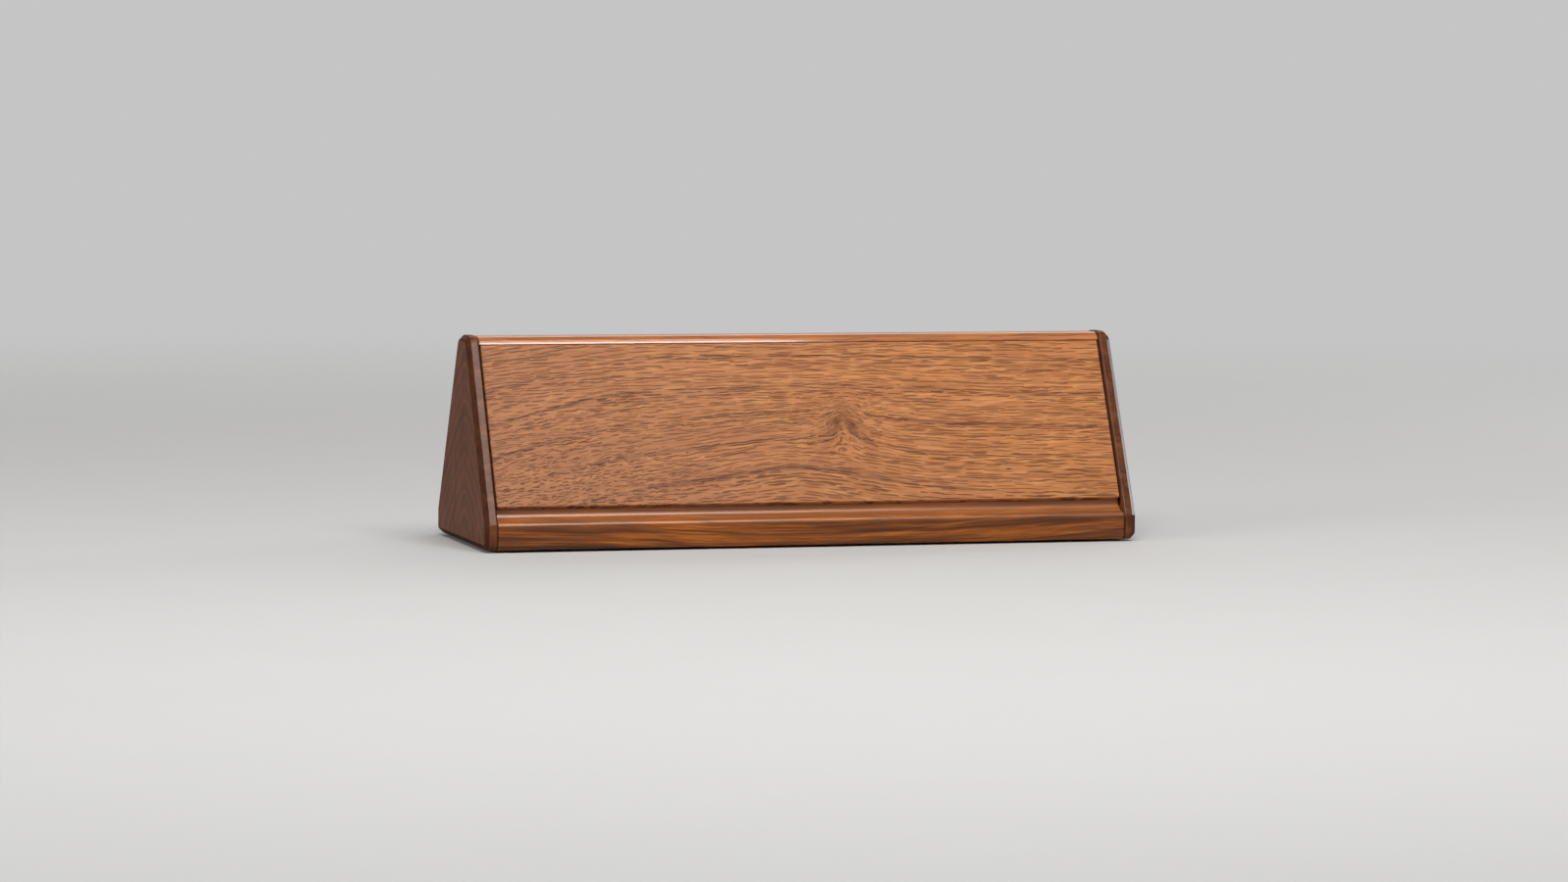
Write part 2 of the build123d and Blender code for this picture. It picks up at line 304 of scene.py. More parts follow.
def rounded_outline(corners, radii, steps, arris_limit):
    """Closed outline, anticlockwise, with an arc at each corner.

    At each corner the normal turns evenly from that of the side before to that of the side after, and the point is
    centre + radius * normal, where the radius counts as negative at a hollow corner.
    """
    corners = np.array(corners, float)
    radii = np.array(radii, float)
    following = np.roll(corners, -1, axis=0)
    if np.sum(corners[:, 0] * following[:, 1] - corners[:, 1] * following[:, 0]) < 0:
        corners, radii = corners[::-1], radii[::-1]
        following = np.roll(corners, -1, axis=0)
    ahead = following - corners
    ahead = ahead / np.linalg.norm(ahead, axis=1, keepdims=True)
    behind = np.roll(ahead, 1, axis=0)
    turn = np.arctan2(behind[:, 0] * ahead[:, 1] - behind[:, 1] * ahead[:, 0], np.sum(behind * ahead, axis=1))
    bend = radii * np.sign(turn)
    start = corners - behind * (radii * np.tan(np.abs(turn) / 2))[:, None]
    side_normal = np.stack([behind[:, 1], -behind[:, 0]], axis=1)
    centre = start - side_normal * bend[:, None]
    part = np.linspace(0, 1, steps)
    angle = np.arctan2(side_normal[:, 1], side_normal[:, 0])[:, None] + turn[:, None] * part
    normals = np.stack([np.cos(angle), np.sin(angle)], axis=-1)
    points = centre[:, None] + normals * bend[:, None, None]
    arris = ((radii <= arris_limit) & (turn > 0))[:, None] * np.sin(np.pi * part)
    return Curve(points.reshape(-1, 2), normals.reshape(-1, 2), arris.ravel())


def skin_profile(low, high, low_chamfer, high_chamfer, depth, radius, steps):
    """Half section of a bar's skin as (growth of the outline, place along the bar).

    It starts on the flat end at low, goes over the chamfer to the full size, along the bar, and over the other
    chamfer to the flat end at high. Every corner is an arc.
    """
    corners = [
        (-depth, low),
        (-low_chamfer, low),
        (0, low + low_chamfer),
        (0, high - high_chamfer),
        (-high_chamfer, high),
        (-depth, high),
    ]
    closed = rounded_outline(corners, [radius] * len(corners), steps, radius)
    return Curve(*(values[steps - 1:1 - steps] for values in closed))


def circle_outline(diameter, steps):
    """Circle as an outline: point = radius * normal, and the normal goes once round."""
    angle = np.linspace(0, 2 * np.pi, steps, endpoint=False)
    normals = np.stack([np.cos(angle), np.sin(angle)], axis=1)
    return Curve(normals * diameter / 2, normals, np.zeros(steps))


def tube_faces(rows, columns):
    """Four-sided faces of a grid of rows that close on themselves, and the grid of vertex numbers."""
    index = np.arange(rows * columns).reshape(rows, columns)
    ahead = np.roll(index, -1, axis=1)
    quads = np.stack([index[:-1], ahead[:-1], ahead[1:], index[1:]], axis=-1)
    return quads.reshape(-1, 4).tolist(), index


def new_mesh(name, points, faces):
    """Mesh from its points and faces."""
    mesh = bpy.data.meshes.new(name)
    mesh.from_pydata(points, [], faces)
    return mesh


def write_mask(mesh, name, values):
    """Stores one number for each point of a mesh."""
    mesh.attributes.new(name, "FLOAT", "POINT").data.foreach_set("value", np.ravel(values))


# Slope of the bevel shade mask, which paints shade on the chamfers, and its value on an upright or level face
BEVEL_SHADE_GAIN, BEVEL_SHADE_START = 6, -0.9


def carried_mesh(name, outline, profile, upright=False):
    """Mesh of a profile carried round an outline.

    With u round the outline and v along the profile: place across = outline(u) + growth(v) * outline normal(u), and
    place along = profile(v). The length lies along X, or along Z for an upright piece. The bevel mask is 1 where the
    profile slopes between 20 and 70 degrees.
    """
    growth, along = profile.points[:, :1], profile.points[:, 1:]
    rows, columns = len(profile.points), len(outline.points)
    across = outline.points + growth[:, None] * outline.normals
    place = np.concatenate([np.broadcast_to(along[:, None], (rows, columns, 1)), across], axis=2)
    tilt = profile.normals[:, :1, None] * outline.normals
    normal = np.concatenate([np.broadcast_to(profile.normals[:, None, 1:], (rows, columns, 1)), tilt], axis=2)
    if upright:
        place = np.roll(place, -1, axis=2)
        normal = np.roll(normal, -1, axis=2)
    faces, index = tube_faces(rows, columns)
    faces += [index[0, ::-1].tolist(), index[-1].tolist()]
    mesh = new_mesh(name, place.reshape(-1, 3), faces)
    mesh.shade_smooth()
    mesh.normals_split_custom_set_from_vertices(normal.reshape(-1, 3))
    write_mask(mesh, "arris", np.maximum(outline.arris, profile.arris[:, None]))
    # Painted shade on the chamfers: the mask is 1 where the profile slopes
    slope = np.abs(np.prod(profile.normals, axis=1, keepdims=True))
    bevel = np.clip(BEVEL_SHADE_GAIN * slope + BEVEL_SHADE_START, 0, 1)
    write_mask(mesh, "bevel", np.broadcast_to(bevel, (rows, columns)))
    return mesh


def slope_angle(sizes):
    """Angle of the front slope above the level."""
    rise = cap_high[2] - cap_low[2] - sizes.upright
    run = (cap_high[1] - cap_low[1] - sizes.apex_width) / 2
    return float(np.arctan2(rise, run))


def slope_point(sizes, along, inward):
    """Point (y, z) measured up the front slope from its lower edge, then square into the body."""
    angle = slope_angle(sizes)
    y = cap_low[1] + along * np.cos(angle) + inward * np.sin(angle)
    z = cap_low[2] + sizes.upright + along * np.sin(angle) - inward * np.cos(angle)
    return (y, z)


def with_rear(points):
    """Outline of the front half followed by its mirror image at the rear."""
    return points + [(-y, z) for y, z in reversed(points)]


def cap_outline(sizes):
    """A-shaped outline of an end cap."""
    front = cap_low[1]
    half = [
        (front, cap_low[2]),
        (front, cap_low[2] + sizes.upright),
        (-sizes.apex_width / 2, cap_high[2]),
    ]
    radii = [sizes.foot_radius, sizes.kink_radius, sizes.apex_radius]
    return rounded_outline(with_rear(half), radii + radii[::-1], sizes.arc_steps, sizes.arris)


def panel_top(sizes):
    """Upper edge of a panel's seat, measured up the slope."""
    angle = slope_angle(sizes)
    crown = ridge_corner(sizes)
    return crown - sizes.ridge_radius * np.tan(angle / 2) - sizes.ridge_land


def ridge_corner(sizes):
    """Corner of the ridge before it is rounded, measured up the slope."""
    angle = slope_angle(sizes)
    rise = cap_high[2] - sizes.ridge_drop - cap_low[2] - sizes.upright
    return (rise + sizes.panel_recess * np.cos(angle)) / np.sin(angle)


def panel_outline(sizes):
    """Section of the front panel: face, lip and tongue."""
    top = panel_top(sizes) - sizes.seam
    rear = sizes.panel_recess + sizes.panel_thickness
    tongue_front = sizes.panel_recess + sizes.lip_thickness
    tongue_foot = sizes.lip_rise - sizes.tongue
    corners = [
        slope_point(sizes, sizes.lip_rise, sizes.panel_recess),
        slope_point(sizes, top, sizes.panel_recess),
        slope_point(sizes, top, rear),
        slope_point(sizes, tongue_foot, rear),
        slope_point(sizes, tongue_foot, tongue_front),
        slope_point(sizes, sizes.lip_rise, tongue_front),
    ]
    radii = [sizes.panel_ease] * 2 + [sizes.fine_arris] * 4
    return corners, radii


def ridge_outline(sizes):
    """Section of the ridge rail: crown, lands and the flanks behind the panels."""
    rear = sizes.panel_recess + sizes.panel_thickness
    top = panel_top(sizes)
    half = [
        slope_point(sizes, top - sizes.ridge_bed, rear),
        slope_point(sizes, top, rear),
        slope_point(sizes, top, sizes.panel_recess),
        slope_point(sizes, ridge_corner(sizes), sizes.panel_recess),
    ]
    radii = [sizes.arris, sizes.fine_arris, sizes.fine_arris, sizes.ridge_radius]
    return with_rear(half), radii + radii[::-1]


def rail_outline(sizes):
    """Section of the front rail: foot, upright, shoulder, shelf, cove, rim, groove, rear land and rebate."""
    groove_front = sizes.panel_recess + sizes.lip_thickness - sizes.groove_play
    groove_rear = sizes.panel_recess + sizes.panel_thickness + sizes.groove_play
    groove_floor = sizes.lip_rise - sizes.tongue - sizes.groove_gap
    rim_rise = sizes.lip_rise - sizes.rim_gap
    rim = slope_point(sizes, rim_rise, groove_front - sizes.rim / np.sin(slope_angle(sizes)))
    rear_land = slope_point(sizes, sizes.rail_rise, groove_rear)
    rebate_y = cap_low[1] + sizes.rail_web
    corners = [
        (rail_low[1], rail_low[2]),
        (rail_low[1], cap_low[2] + sizes.upright + sizes.shoulder_rise),
        (rim[0], rim[1] - sizes.notch),
        rim,
        slope_point(sizes, rim_rise, groove_front),
        slope_point(sizes, groove_floor, groove_front),
        slope_point(sizes, groove_floor, groove_rear),
        rear_land,
        (rail_high[1], rear_land[1]),
        (rail_high[1], rail_low[2] + sizes.rebate),
        (rebate_y, rail_low[2] + sizes.rebate),
        (rebate_y, rail_low[2]),
    ]
    radii = [sizes.rail_foot, sizes.shoulder_radius, sizes.cove_radius] + [sizes.fine_arris] * 9
    return corners, radii


# Shader nodes

MM_PER_METRE = 1000.0

# Scales of noises along, across and through a board, per millimetre
SWAY_SCALE = (0.013, 0.06, 0.06)
RING_SCALE = (0.008, 0.035, 0.035)
PATCH_SCALE = (0.02, 0.08, 0.08)
RIPPLE_SCALE = (0.16, 0.3, 0.3)
WHIRL_SCALE = (0.4, 0.4, 0.4)
TURNING_SCALE = (1.5, 1.5, 14.0)

# Rings: how far noise moves them, strength of the faintest, where its line ends, and where lines and patches set in
RING_LOOSENESS, FAINTEST_RING, RING_END = 0.25, 0.55, 0.97
FIRST_RING, PATCH_RANGE = (0.0, 0.4), (0.25, 0.52)

# Bands of tone: scales along the grain and across the rings, length in pores, share of the narrow ones, and contrast
BROAD_ALONG, BROAD_ACROSS, STREAK_LENGTH, STREAK_SHARE = 0.013, 0.14, 4.0, 0.6
TONE_RANGE, FIBRE_RANGE = (0.38, 0.62), (0.32, 0.68)

# Pores: height of their ripple, strength of the small ones, and strength at the start of a ring
RIPPLE_HEIGHT, SMALL_STRENGTH, EARLY_STRENGTH = 0.9, 0.82, 0.7

# Layers of pores: scale of the cells, half length and half width of a dash, and the least chance that fills a cell
SMALL_PORES = (1.0, 0.65, 0.23, 0.0)
BOLD_PORES = (0.6, 0.5, 0.12, 0.45)
PORE_SCATTER = 0.75

# Eyes of a knot: distance to the side, half width, half height and tilt, in shares of its reach
EYE_SIDE, EYE_WIDTH, EYE_HEIGHT, EYE_TILT = 0.39, 0.22, 0.18, 0.25

# Other shapes of a knot: fall of the lift, spread of the swirl, crowding, legs of the shade, streak, and line in mm
LIFT_FALL, SWIRL_SIDE, SWIRL_HEIGHT, CROWD_SLOPE = -1.2, 0.45, 0.7, 0.6
LEG_SLOPE, LEG_DROP, LEG_WIDTH = 1.1, 0.2, 0.75
STREAK_WIDTH, STREAK_HEIGHT = 0.11, 0.2
LINE_ABOVE, LINE_BELOW = (-2.2, -0.1), (0.5, 0.0)

# Layers of a wood: strength of eyes and streak, way of the cast in mm, height of the edge of the painted crest light
# in mm, and the share of pores and haze in the roughness and of fibres in the relief
EYE_DEPTH, STREAK_DEPTH = 0.4, 0.6
CAST_RANGE, PAINTED_CREST_LIGHT_EDGE = (120.0, -160.0), 3.0
PORE_ROUGHNESS, HAZE_ROUGHNESS, FIBRE_RELIEF = 0.16, 0.14, 0.35

VECTOR_SOCKETS = ("Vector", "Pith", "Place")


class Value:
    """Number that a node gives. Arithmetic with it adds Math nodes to its sheet."""

    def __init__(self, sheet, socket):
        self.sheet = sheet
        self.socket = socket

    def __add__(self, other):
        return self.sheet.math("ADD", self, other)

    def __sub__(self, other):
        return self.sheet.math("SUBTRACT", self, other)

    def __rsub__(self, other):
        return self.sheet.math("SUBTRACT", other, self)

    def __mul__(self, other):
        return self.sheet.math("MULTIPLY", self, other)

    def __truediv__(self, other):
        return self.sheet.math("DIVIDE", self, other)

    __radd__ = __add__


class NodeSheet:
    """Adds nodes to one tree, from left to right, and links them."""

    def __init__(self, tree):
        self.tree = tree
        self.column = 0

    def add(self, kind, *values, **settings):
        """New node with the given settings, and with the values on its first inputs."""
        node = self.tree.nodes.new(kind)
        node.location = (180 * self.column, -140 * (self.column % 4))
        self.column += 1
        for name, value in settings.items():
            setattr(node, name, value)
        for socket, value in zip(node.inputs, values):
            self.feed(socket, value)
        return node

    def feed(self, socket, value):
        """Links a socket to a value or to another socket, or sets its plain value."""
        value = getattr(value, "socket", value)
        if isinstance(value, bpy.types.NodeSocket):
            self.tree.links.new(value, socket)
        else:
            socket.default_value = value

    def values(self, node):
        """Outputs of a node by name."""
        return {socket.name: Value(self, socket) for socket in node.outputs}

    def math(self, operation, *values):
        """Result of a sum on numbers."""
        return Value(self, self.add("ShaderNodeMath", *values, operation=operation).outputs[0])

    def vector(self, operation, first, second):
        """Result of a vector sum."""
        return self.add("ShaderNodeVectorMath", first, second, operation=operation).outputs[0]

    def split(self, vector):
        """The three parts of a vector."""
        return [Value(self, socket) for socket in self.add("ShaderNodeSeparateXYZ", vector).outputs]

    def join(self, x, y, z):
        """Vector from its three parts."""
        return self.add("ShaderNodeCombineXYZ", x, y, z).outputs[0]

    def noise(self, vector, scale=1.0, detail=2.0, roughness=0.5):
        """Even noise from 0 to 1. The scale is one number, or one for each axis."""
        if isinstance(scale, tuple):
            vector, scale = self.vector("MULTIPLY", vector, scale), 1.0
        node = self.add("ShaderNodeTexNoise", vector, noise_dimensions="3D")
        for name, value in (("Scale", scale), ("Detail", detail), ("Roughness", roughness)):
            node.inputs[name].default_value = value
        return Value(self, node.outputs["Fac"])

    def step(self, value, low, high):
        """0 below low, 1 above high, with a smooth rise between them."""
        node = self.add("ShaderNodeMapRange", value, low, high, interpolation_type="SMOOTHSTEP")
        return Value(self, node.outputs[0])

    def bell(self, *shares):
        """Bell curve around zero: exp of minus the sum of the squares."""
        return self.math("EXPONENT", sum(part * part for part in shares) * -1.0)

    def blend(self, factor, first, second):
        """Colour between two colours."""
        node = self.add("ShaderNodeMix", factor, data_type="RGBA")
        self.feed(node.inputs[6], first)
        self.feed(node.inputs[7], second)
        return node.outputs[2]

    def attribute(self, name):
        """Number stored at each point of the mesh."""
        return Value(self, self.add("ShaderNodeAttribute", attribute_name=name).outputs["Fac"])

    def group(self, title, build, **values):
        """Outputs of a shared group, built when it is first needed, with its inputs fed by name."""
        node = self.add("ShaderNodeGroup", node_tree=bpy.data.node_groups.get(title) or build(title))
        for name, value in values.items():
            self.feed(node.inputs[name.replace("_", " ").title()], value)
        return self.values(node)


def new_group(title, inputs, outputs):
    """Shader node group with named sockets: its tree, its sheet, its inputs, and the sockets for its results."""
    tree = bpy.data.node_groups.new(title, "ShaderNodeTree")
    for side, names in (("INPUT", inputs), ("OUTPUT", outputs)):
        for name in names:
            kind = "NodeSocketVector" if name in VECTOR_SOCKETS else "NodeSocketFloat"
            tree.interface.new_socket(name, in_out=side, socket_type=kind)
    sheet = NodeSheet(tree)
    return tree, sheet, sheet.values(sheet.add("NodeGroupInput")), sheet.add("NodeGroupOutput").inputs


def pore_layer(sheet, place, scale, half_length, half_width, least):
    """Tapered dashes, one in each cell of a Voronoi pattern that is already stretched along the grain.

    With the offset from the cell's middle, a dash is where (along / half length)^2 + (across / half width)^2 is
    below 1. The cell's random colour decides how dark it is, and below the least value the cell stays empty.
    """
    scaled = sheet.vector("MULTIPLY", place, (scale, scale, scale))
    cells = sheet.add("ShaderNodeTexVoronoi", scaled, voronoi_dimensions="3D", feature="F1")
    cells.inputs["Scale"].default_value = 1.0
    cells.inputs["Randomness"].default_value = PORE_SCATTER
    along, across, _ = sheet.split(sheet.vector("SUBTRACT", scaled, cells.outputs["Position"]))
    along, across = along / half_length, across / half_width
    chance = sheet.split(cells.outputs["Color"])[0]
    return sheet.step(along * along + across * across, 1.0, 0.4) * sheet.step(chance, least, least + 0.4)


def grain_group(title):
    """Sawn wood, in millimetres: X along the grain, Y across the face, Z through the board.

    The way along the grain from the pith's place is smoothed to a hyperbola, sqrt(way^2 + ease^2) - ease, and counts
    skew times as much on the right. Lean times it shifts the grain across the board. The distance from the pith,
    shifted in the same way, gives the growth rings: over the ring pitch it is a saw-tooth, and its upper end is the
    dark late wood. Pores are two layers of dashes that follow the grain, and fibres are a long thin noise.
    """
    tree, sheet, given, result = new_group(
        title,
        ["Vector", "Slide", "Pith", "Ease", "Skew", "Lean", "Ring Pitch", "Heart", "Wander", "Follow", "Late Share",
         "Pore Length", "Pore Width"],
        ["Tone", "Rings", "Pores", "Fibre"],
    )
    vector, ease = given["Vector"], given["Ease"]
    pore_length, pore_width = given["Pore Length"], given["Pore Width"]
    along, across, deep = sheet.split(vector)
    pith_along, pith_across, pith_deep = sheet.split(given["Pith"])
    # Course of the grain
    sway = (sheet.noise(vector, SWAY_SCALE) * 2.0 - 1.0) * given["Wander"]
    way = along - pith_along
    side = sheet.math("GREATER_THAN", way, 0.0) * (given["Skew"] - 1.0) + 1.0
    lift = (sheet.math("SQRT", way * way + ease * ease) - ease) * side * given["Lean"]
    line = lift * given["Follow"] + across + sway
    # Growth rings
    aside = across + sway - pith_across
    below = deep - pith_deep
    radius = lift + sheet.math("SQRT", aside * aside + below * below)
    ring = sheet.noise(vector, RING_SCALE) * RING_LOOSENESS + (radius - given["Heart"]) / given["Ring Pitch"]
    saw = sheet.math("FRACT", ring)
    each = sheet.add("ShaderNodeTexWhiteNoise", noise_dimensions="1D")
    sheet.feed(each.inputs["W"], sheet.math("FLOOR", ring))
    strength = sheet.values(each)["Value"] * (1.0 - FAINTEST_RING) + FAINTEST_RING
    late = sheet.step(saw, 1.0 - given["Late Share"], RING_END) * sheet.step(saw, 1.0, RING_END) * strength
    late = late * sheet.step(ring, *FIRST_RING) * sheet.step(sheet.noise(vector, PATCH_SCALE), *PATCH_RANGE)
    # Bands of tone
    broad = sheet.noise(sheet.join(along * BROAD_ALONG, radius * BROAD_ACROSS, 0.0), detail=3.0)
    streak = sheet.noise(sheet.join(along / (pore_length * STREAK_LENGTH), line * 0.5, deep * 0.5), detail=3.0)
    mixed = streak * STREAK_SHARE + broad * (1.0 - STREAK_SHARE)
    sheet.feed(result["Tone"], sheet.step(mixed, *TONE_RANGE))
    # Pores and fibres
    rippled = sheet.noise(vector, RIPPLE_SCALE, detail=1.0) * RIPPLE_HEIGHT + line
    slid = (along + given["Slide"]) / pore_length
    stretched = sheet.join(slid, rippled / pore_width, deep / (pore_width * 2.0))
    small = pore_layer(sheet, stretched, *SMALL_PORES) * SMALL_STRENGTH
    pores = sheet.math("MAXIMUM", pore_layer(sheet, stretched, *BOLD_PORES), small)
    sheet.feed(result["Pores"], pores * (saw * (1.0 - EARLY_STRENGTH) + EARLY_STRENGTH))
    hair = sheet.noise(sheet.join(slid, rippled / (pore_width * 0.6), deep / pore_width), detail=1.0)
    fibre = sheet.step(hair, *FIBRE_RANGE)
    sheet.feed(result["Rings"], late * (fibre * 0.5 + 0.5))
    sheet.feed(result["Fibre"], fibre)
    return tree


def knot_group(title):
    """Grain that lifts over a knot and swirls around it, in millimetres.

    The lift falls off with the distance beside the knot, from a top that is sharp or round, and as a bell curve
    above and below it. Inside it a noise pushes the grain about, and the slide, a tanh of the way beside the knot,
    crowds the pores. Two dark eyes stand to the left and right of the knot, a dark shade follows the lifted grain
    down on both sides, a pale streak hangs between the eyes, and the line is the lifted grain that passes through
    the knot's place.
    """
    tree, sheet, given, result = new_group(
        title,
        ["Vector", "Place", "Reach", "Rise", "Tall", "Top", "Swirl", "Crowd"],
        ["Vector", "Slide", "Shade", "Eyes", "Streak", "Line"],
    )
    vector, reach, rise, top = given["Vector"], given["Reach"], given["Rise"], given["Top"]
    along, across, _ = sheet.split(sheet.vector("SUBTRACT", vector, given["Place"]))
    x = along / reach
    y = across / (reach * given["Tall"])
    beside = sheet.math("SQRT", top * top + x * x) - top
    height = sheet.bell(y)
    lift = height * sheet.math("EXPONENT", beside * LIFT_FALL)
    wide = sheet.bell(x * SWIRL_SIDE, y * SWIRL_HEIGHT)
    push = (sheet.noise(vector, WHIRL_SCALE) * 2.0 - 1.0) * given["Swirl"]
    shift = push * wide - lift * rise
    strayed = across + shift + rise
    trail = sheet.step(strayed, *LINE_ABOVE) * sheet.step(strayed, *LINE_BELOW)
    side = (sheet.math("ABSOLUTE", x) - EYE_SIDE) / EYE_WIDTH
    figure = {
        "Vector": sheet.vector("ADD", vector, sheet.join(0.0, shift, 0.0)),
        "Slide": sheet.math("TANH", x * CROWD_SLOPE) * (reach * given["Crowd"]) * height,
        "Shade": sheet.bell((beside * LEG_SLOPE + (y - LEG_DROP)) / LEG_WIDTH) * wide,
        "Eyes": sheet.bell(side, (x * EYE_TILT + y) / EYE_HEIGHT),
        "Streak": sheet.bell(x / STREAK_WIDTH, (y + STREAK_HEIGHT) / STREAK_HEIGHT),
        "Line": trail * wide,
    }
    for name, value in figure.items():
        sheet.feed(result[name], value)
    return tree


def wear_and_edge_light_group(title):
    """Wear along eased edges: the edge mask of the piece, broken up by a noise, and a slow haze from handling."""
    tree, sheet, given, result = new_group(title, ["Vector", "Arris"], ["Wear", "Haze"])
    broken = sheet.step(sheet.noise(given["Vector"], 0.16, detail=3.0), 0.35, 0.7)
    sheet.feed(result["Wear"], given["Arris"] * broken)
    sheet.feed(result["Haze"], sheet.noise(given["Vector"], 0.045, detail=4.0, roughness=0.6))
    return tree


def new_material(name, turn=(0.0, 0.0, 0.0)):
    """Material with an empty sheet, its shader, and the place in millimetres, turned so that X follows the grain."""
    material = bpy.data.materials.new(name)
    material.use_nodes = True
    material.node_tree.nodes.clear()
    sheet = NodeSheet(material.node_tree)
    shader = sheet.add("ShaderNodeBsdfPrincipled")
    sheet.add("ShaderNodeOutputMaterial", shader.outputs["BSDF"])
    place = sheet.add("ShaderNodeTexCoord").outputs["Object"]
    mapping = sheet.add("ShaderNodeMapping", place, vector_type="POINT")
    mapping.inputs["Rotation"].default_value = turn
    mapping.inputs["Scale"].default_value = (MM_PER_METRE, MM_PER_METRE, MM_PER_METRE)
    return material, sheet, shader, mapping.outputs["Vector"]


def dress_shader(sheet, shader, tint, roughness, height, relief, constants):
    """Gives a shader its colour, its roughness, a relief from a height, and its constants by name."""
    sheet.feed(shader.inputs["Base Color"], tint)
    sheet.feed(shader.inputs["Roughness"], roughness)
    for name, value in constants.items():
        shader.inputs[name].default_value = value
    bump = sheet.add("ShaderNodeBump")
    bump.inputs["Strength"].default_value = 1.0
    bump.inputs["Distance"].default_value = relief
    sheet.feed(bump.inputs["Height"], height)
    sheet.feed(shader.inputs["Normal"], bump.outputs["Normal"])


def solid(rgb):
    """Colour with full opacity."""
    return (*rgb, 1.0)


def wood_material(name, finish, turn, pith, knots=()):
    """Lacquered wood: tone, ring lines and pores over each other, knots, worn edges, relief and clear coat."""
    material, sheet, shader, vector = new_material(name, turn)
    slide = 0.0
    marks = []
    for knot in knots:
        mark = sheet.group("Knot", knot_group, vector=vector, **knot.inputs)
        vector = mark["Vector"]
        slide = mark["Slide"] + slide
        if knot.shade_depth:
            marks.append((mark["Eyes"] * EYE_DEPTH + mark["Shade"] * knot.shade_depth, 1.0, finish.pore))
            marks.append((mark["Streak"], STREAK_DEPTH, finish.light))
        if knot.line_depth:
            marks.append((mark["Line"], knot.line_depth, finish.line))
    figure = {field: getattr(finish, field) for field in GRAIN_FIELDS}
    wood = sheet.group("Wood grain", grain_group, vector=vector, slide=slide, pith=pith, **figure)
    handled_and_lit = sheet.group("Handled edges", wear_and_edge_light_group, vector=vector, arris=sheet.attribute("arris"))
    along, across, _ = sheet.split(vector)
    # Masks from the lowest layer to the highest, each with its strength and its colour
    layers = [
        (wood["Fibre"], finish.fibre_depth, finish.dark),
        (sheet.step(wood["Fibre"], 0.3, 0.0), finish.gleam_depth, finish.worn),
        (sheet.step(along + across, *CAST_RANGE), finish.cast_depth, finish.cast),
        (wood["Rings"], finish.line_depth, finish.line),
        (wood["Pores"], finish.pore_depth, finish.pore),
        *marks,
        # Painted light: the upper edge lightened towards the worn colour
        (sheet.step(across, finish.crest - PAINTED_CREST_LIGHT_EDGE, finish.crest), finish.crest_depth, finish.worn),
        # Painted shade: the chamfers darkened towards the pore colour
        (sheet.attribute("bevel"), finish.bevel_depth, finish.pore),
        # Handling wear and painted highlight: the eased edges lightened
        (handled_and_lit["Wear"], finish.wear, finish.worn),
    ]
    tint = sheet.blend(wood["Tone"], solid(finish.light), solid(finish.dark))
    for mask, depth, over in layers:
        tint = sheet.blend(mask * depth, tint, solid(over))
    gloss = (handled_and_lit["Haze"] - 0.5) * HAZE_ROUGHNESS + (wood["Pores"] * PORE_ROUGHNESS + finish.roughness)
    height = wood["Fibre"] * FIBRE_RELIEF - wood["Pores"]
    dress_shader(sheet, shader, tint, gloss, height, finish.relief, {
        "Specular IOR Level": finish.specular,
        "Coat Weight": finish.coat,
        "Coat Roughness": finish.coat_roughness,
        "Coat IOR": finish.coat_index,
    })
    return material


def steel_material():
    """Zinc plated steel: turning marks, a slow change of tint and small rough patches."""
    material, sheet, shader, vector = new_material("zinc_steel")
    patch = sheet.step(sheet.noise(vector, 0.6, detail=4.0), 0.35, 0.7)
    marks = sheet.noise(vector, TURNING_SCALE)
    tint = sheet.blend(patch, solid(shade(196, 192, 180)), solid(shade(160, 158, 150)))
    dress_shader(sheet, shader, tint, marks * 0.25 + 0.22, marks, 0.00002, {"Metallic": 1.0})
    return material


def rubber_material():
    """Matt black rubber with a fine moulded grain and dust in its hollows."""
    material, sheet, shader, vector = new_material("moulded_rubber")
    pebble = sheet.noise(vector, 5.0, detail=3.0)
    dust = sheet.step(sheet.noise(vector, 0.5, detail=4.0), 0.45, 0.75)
    tint = sheet.blend(dust * 0.35, solid(shade(30, 30, 31)), solid(shade(84, 80, 76)))
    dress_shader(sheet, shader, tint, pebble * 0.2 + 0.68, pebble, 0.00004, {})
    return material


# Pieces

def new_object(name, data):
    """Object in the scene."""
    made = bpy.data.objects.new(name, data)
    bpy.context.scene.collection.objects.link(made)
    return made


def add_piece(mesh, material, node):
    """Puts a finished piece in the place of its CAD node."""
    piece = new_object(mesh.name, mesh)
    mesh.materials.append(material)
    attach(piece, "root")
    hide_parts(node)


def paint_node(node, material):
    """Gives a CAD node that keeps its shape a better material."""
    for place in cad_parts[node].material_slots:
        place.material = material


def rail_profile(sizes):
    """Half section of the skin of the base rails and of the ridge rail, along their length."""
    ease = sizes.rail_ease
    return skin_profile(-rail_end, rail_end, ease, ease, 1.5 * ease, sizes.fine_arris, sizes.arc_steps)


# Grid of a screw: angles round it, and rows over its head's face, down the head's cone and along the shank
SCREW_SIDES, FACE_ROWS, CONE_ROWS, SHANK_ROWS = 40, 22, 6, 120

# Shares of the head inside the first row, of the pitch on each side of the thread's crest, and of the shank at its
# point, and the angle of a sharp edge
FACE_START, THREAD_SHARE, POINT_SHARE, SHARP_ANGLE = 0.06, 0.55, 0.04, 0.7


